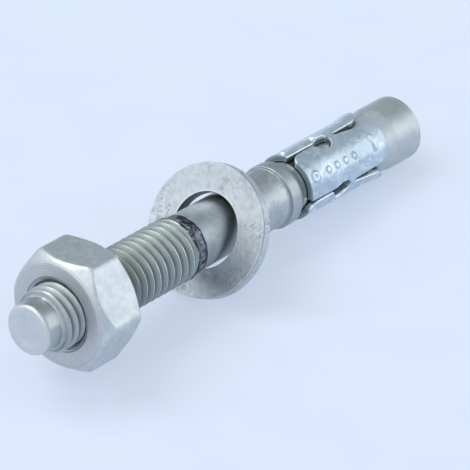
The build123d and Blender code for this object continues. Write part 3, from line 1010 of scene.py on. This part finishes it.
def clip_material(name, bright, sizes):
    """Bright zinc plating: a smooth bluish metal with slight waviness, milky stains and
    flecks, painted glints on the rims along the slits and on the pressed marks, duller
    greenish metal on the near cut end, and painted shade inside."""
    material, tree, shader, point = new_material(name)
    place = axis_place(tree, point)
    radius = place["Radius"]
    into = tree.maths("SUBTRACT", place["Along"], sizes.start)
    proud = tree.maths("SUBTRACT", radius, sizes.inner_r + sizes.sheet)
    stains = tree.ramp(tree.noise(point, 230.0, 4.0, 0.65, 0.8), 0.38, 0.62)
    milky = tree.ramp(tree.noise(point, 420.0, 5.0, 0.7, 0.6), 0.54, 0.64)
    specks = tree.ramp(tree.noise(point, 2100.0, 3.0, 0.6), 0.60, 0.70)
    # Painted glint on the rims along the slits
    rim = tree.between(proud, (-0.5, -0.35), (-0.06, -0.015))
    # Painted glint on the pressed marks and nibs
    raised_glint = tree.times(tree.ramp(proud, 0.07, 0.2), tree.ramp(into, 10.8, 10.0))
    # The near cut end is duller, and the inside of the sheet carries painted shade
    end, inside = tree.ramp(into, 0.14, 0.02), tree.ramp(radius, 4.95, 4.5)
    base = tree.tint(colour(bright), (STAIN, stains, 0.6), (MILKY_STAIN, milky, 0.5))
    base = tree.tint(base, (CLIP_SPECKS, specks, 0.8), (PAINTED_GLINT_SLIT_RIM, rim, 0.75))
    base = tree.tint(base, (PAINTED_GLINT_RAISED_MARK, raised_glint, 0.5), (CUT_END, end, 0.85))
    base = tree.tint(base, (PAINTED_SHADE_CLIP_INSIDE, inside, 0.75))
    fine = tree.noise(point, 1500.0, 4.0, 0.6)
    rough = tree.ramp(fine, 0.3, 0.7, 0.14, 0.26)
    wavy = tree.noise(point, 420.0, 3.0, 0.5, 0.5)
    height = tree.maths("ADD", wavy, tree.times(fine, 0.06))
    bump = {"Height": height, "Strength": 0.6, "Distance": 0.2 * MM}
    metal_shader(tree, shader, base, rough, 0.66, 0.6, bump)
    return material


# ---------------------------------------------------------------- studio

# What the metal reflects, over the room's own colour: the direction of each soft light
# and of the dark side, the angles in degrees where it is full and where it ends, and
# its colour
ROOM = (0.66, 0.73, 0.82)
ROOM_LIGHTS = (
    ((-0.72, 0.53, 0.33), 22, 60, (1.05, 1.1, 1.16)),
    ((-0.64, -0.28, 0.72), 12, 36, (1.32, 1.35, 1.38)),
    ((0.71, -0.70, 0.18), 12, 40, (1.5, 1.55, 1.6)),
    ((0.73, 0.40, 0.50), 20, 52, (0.40, 0.45, 0.48)),
)


def make_table(paper):
    """A wide level table, staged. The camera and the reflections see it partly glowing
    in its own colour, and the rest of its light is what falls on it, so it stays pale
    and keeps the shadow."""
    mesh = bpy.data.meshes.new("table")
    reach = 6.0
    corners = ((-reach, -reach), (reach, -reach), (reach, reach), (-reach, reach))
    mesh.from_pydata([(x, y, 0) for x, y in corners], [], [(0, 1, 2, 3)])
    material, tree, shader, point = new_material("table_paper")
    speck = tree.ramp(tree.noise(point, 60.0, 2.0), 0.4, 0.6)
    pale = tree.blend(speck, colour(paper), colour([0.985 * part for part in paper]))
    matt = {"Base Color": pale, "Roughness": 0.9, "Specular IOR Level": 0.0}
    tree.fill(shader.inputs, matt)
    glow = tree.add("Emission", {"Color": pale, "Strength": 1.0})
    seen = tree.add("LightPath").outputs
    share = tree.maths("ADD", seen["Is Camera Ray"], seen["Is Glossy Ray"], True)
    share = tree.maths("ADD", share, seen["Is Transmission Ray"], True)
    share = tree.times(share, 0.55)
    both = tree.add("MixShader", {0: share, 1: shader.outputs[0], 2: glow.outputs[0]})
    tree.put(material.node_tree.get_output_node("ALL").inputs["Surface"], both.outputs[0])
    mesh.materials.append(material)
    link_object("table", mesh)


def make_world(sky, backdrop):
    """The room. It lights the anchor at the strength of the sky and shows in the metal
    as it is, and the camera sees a plain backdrop in its place."""
    world = bpy.data.worlds.new("studio")
    bpy.context.scene.world = world
    world.use_nodes = True
    world.node_tree.nodes.clear()
    tree = Tree(world.node_tree)
    way = tree.add("TexCoord").outputs["Generated"]
    room = colour(ROOM)
    for direction, inner, outer, rgb in ROOM_LIGHTS:
        aim = tuple(Vector(direction).normalized())
        facing = tree.vector("DOT_PRODUCT", way, aim)["Value"]
        limits = [math.cos(math.radians(angle)) for angle in (outer, inner)]
        room = tree.blend(tree.ramp(facing, *limits), room, colour(rgb))
    seen = tree.add("LightPath").outputs
    light = tree.add("Background", {"Color": room, "Strength": sky})
    mirror = tree.add("Background", {"Color": room, "Strength": 1.0})
    plain = tree.add("Background", {"Color": colour(backdrop), "Strength": 1.0})
    lit = {0: seen["Is Glossy Ray"], 1: light.outputs[0], 2: mirror.outputs[0]}
    shown = tree.maths("ADD", seen["Is Camera Ray"], seen["Is Transmission Ray"], True)
    final = {0: shown, 1: tree.add("MixShader", lit).outputs[0], 2: plain.outputs[0]}
    tree.add("OutputWorld", {"Surface": tree.add("MixShader", final).outputs[0]})


def make_key(strength):
    """A broad soft key light from behind and above."""
    lamp = bpy.data.lights.new("key", "SUN")
    lamp.energy = strength
    lamp.angle = math.radians(38)
    lamp.color = (1.0, 0.99, 0.97)
    key = link_object("key", lamp)
    key.location = Vector((-0.1, 0.25, 0.5))
    key.rotation_euler = key.location.to_track_quat("Z", "Y").to_euler()


def make_camera(studio):
    """The camera, far off with a long lens."""
    camera = bpy.data.cameras.new("camera")
    camera.lens = studio.lens
    camera.sensor_width = 36.0
    camera.clip_start, camera.clip_end = 0.01, 50.0
    eye = link_object("camera", camera)
    eye.location = studio.eye
    eye.rotation_euler = Euler([math.radians(angle) for angle in studio.turn])
    bpy.context.scene.camera = eye


# ---------------------------------------------------------------- operators


class ANCHOR_OT_bolt(bpy.types.Operator):
    """Makes the anchor bolt with its cut thread and ink ring"""

    bl_idname = "anchor.bolt"
    bl_label = "Anchor bolt"

    def execute(self, context):
        colours = context.scene.anchor_colours
        hole = washer_frame(context.scene.anchor_washer)[:2]
        finish = bolt_finish(colours.ink, hole)
        coats = (colours.coat, colours.coat_dark)
        material = zinc_material("bolt_coating", *coats, 0.6, 0.25, finish)
        sizes = context.scene.anchor_bolt
        phi = even_turn(sizes.columns)
        grids = [tip_grid(phi), bolt_thread_grid(sizes), shank_grid(sizes.crest_r, phi)]
        make_piece("bolt_body", grids, "bolt", "anchor_bolt", material)
        return {"FINISHED"}


class ANCHOR_OT_nut(bpy.types.Operator):
    """Makes the hexagon nut with its threaded bore"""

    bl_idname = "anchor.nut"
    bl_label = "Hexagon nut"

    def execute(self, context):
        colours = context.scene.anchor_colours
        coats = (colours.washer, colours.coat)
        material = zinc_material("nut_coating", *coats, 0.35, 0.12, nut_finish)
        grids = nut_grids(context.scene.anchor_nut, context.scene.anchor_bolt)
        make_piece("nut_body", grids, "nut", "hex_nut", material)
        return {"FINISHED"}


class ANCHOR_OT_washer(bpy.types.Operator):
    """Makes the plain washer as it leans on the shank"""

    bl_idname = "anchor.washer"
    bl_label = "Washer"

    def execute(self, context):
        colours = context.scene.anchor_colours
        sizes = context.scene.anchor_washer
        coats, axis = (colours.washer, colours.coat), washer_frame(sizes)[:2]
        material = zinc_material("washer_coating", *coats, 0.7, 0.8, washer_finish, axis)
        grids = [washer_grid(sizes)]
        make_piece("washer_disc", grids, "washer", "washer", material)
        return {"FINISHED"}


class ANCHOR_OT_clip(bpy.types.Operator):
    """Makes the expansion clip, a slit sheet rolled round the neck"""

    bl_idname = "anchor.clip"
    bl_label = "Expansion clip"

    def execute(self, context):
        sizes = context.scene.anchor_clip
        material = clip_material("clip_zinc", context.scene.anchor_colours.clip, sizes)
        grids = clip_grids(sizes)
        make_piece("clip_sheet", grids, "clip", "expansion_clip", material, 50)
        return {"FINISHED"}


class ANCHOR_OT_stage(bpy.types.Operator):
    """Makes the table, the light and the camera"""

    bl_idname = "anchor.stage"
    bl_label = "Studio"

    def execute(self, context):
        context.scene.view_settings.view_transform = "Standard"
        studio, floor = context.scene.anchor_studio, context.scene.anchor_colours.floor
        make_table(floor)
        make_world(studio.sky, floor)
        make_key(studio.sun)
        make_camera(studio)
        return {"FINISHED"}


class ANCHOR_PT_panel(bpy.types.Panel):
    """Lists the anchor's pieces and their sizes"""

    bl_idname = "ANCHOR_PT_panel"
    bl_label = "Wedge anchor"
    bl_space_type = "VIEW_3D"
    bl_region_type = "UI"
    bl_category = "Anchor"

    def draw(self, context):
        for operator in OPERATORS:
            self.layout.operator(operator.bl_idname)
        for name in GROUPS:
            group = getattr(context.scene, name)
            box = self.layout.box()
            for prop in group.bl_rna.properties:
                if prop.identifier not in {"rna_type", "name"}:
                    box.prop(group, prop.identifier)


GROUPS = {
    "anchor_bolt": BoltSizes,
    "anchor_nut": NutSizes,
    "anchor_washer": WasherSizes,
    "anchor_clip": ClipSizes,
    "anchor_colours": AnchorColours,
    "anchor_studio": StudioSettings,
}
OPERATORS = (ANCHOR_OT_bolt, ANCHOR_OT_nut, ANCHOR_OT_washer, ANCHOR_OT_clip, ANCHOR_OT_stage)


def register():
    """Adds the settings, the operators and the panel to Blender."""
    for name, group in GROUPS.items():
        bpy.utils.register_class(group)
        setattr(bpy.types.Scene, name, PointerProperty(type=group))
    for operator in OPERATORS:
        bpy.utils.register_class(operator)
    bpy.utils.register_class(ANCHOR_PT_panel)


def unregister():
    """Takes them out again."""
    bpy.utils.unregister_class(ANCHOR_PT_panel)
    for operator in reversed(OPERATORS):
        bpy.utils.unregister_class(operator)
    for name, group in reversed(GROUPS.items()):
        delattr(bpy.types.Scene, name)
        bpy.utils.unregister_class(group)


def main():
    register()
    bpy.ops.anchor.bolt()
    bpy.ops.anchor.nut()
    bpy.ops.anchor.washer()
    bpy.ops.anchor.clip()
    bpy.ops.anchor.stage()


if __name__ == "__main__":
    main()
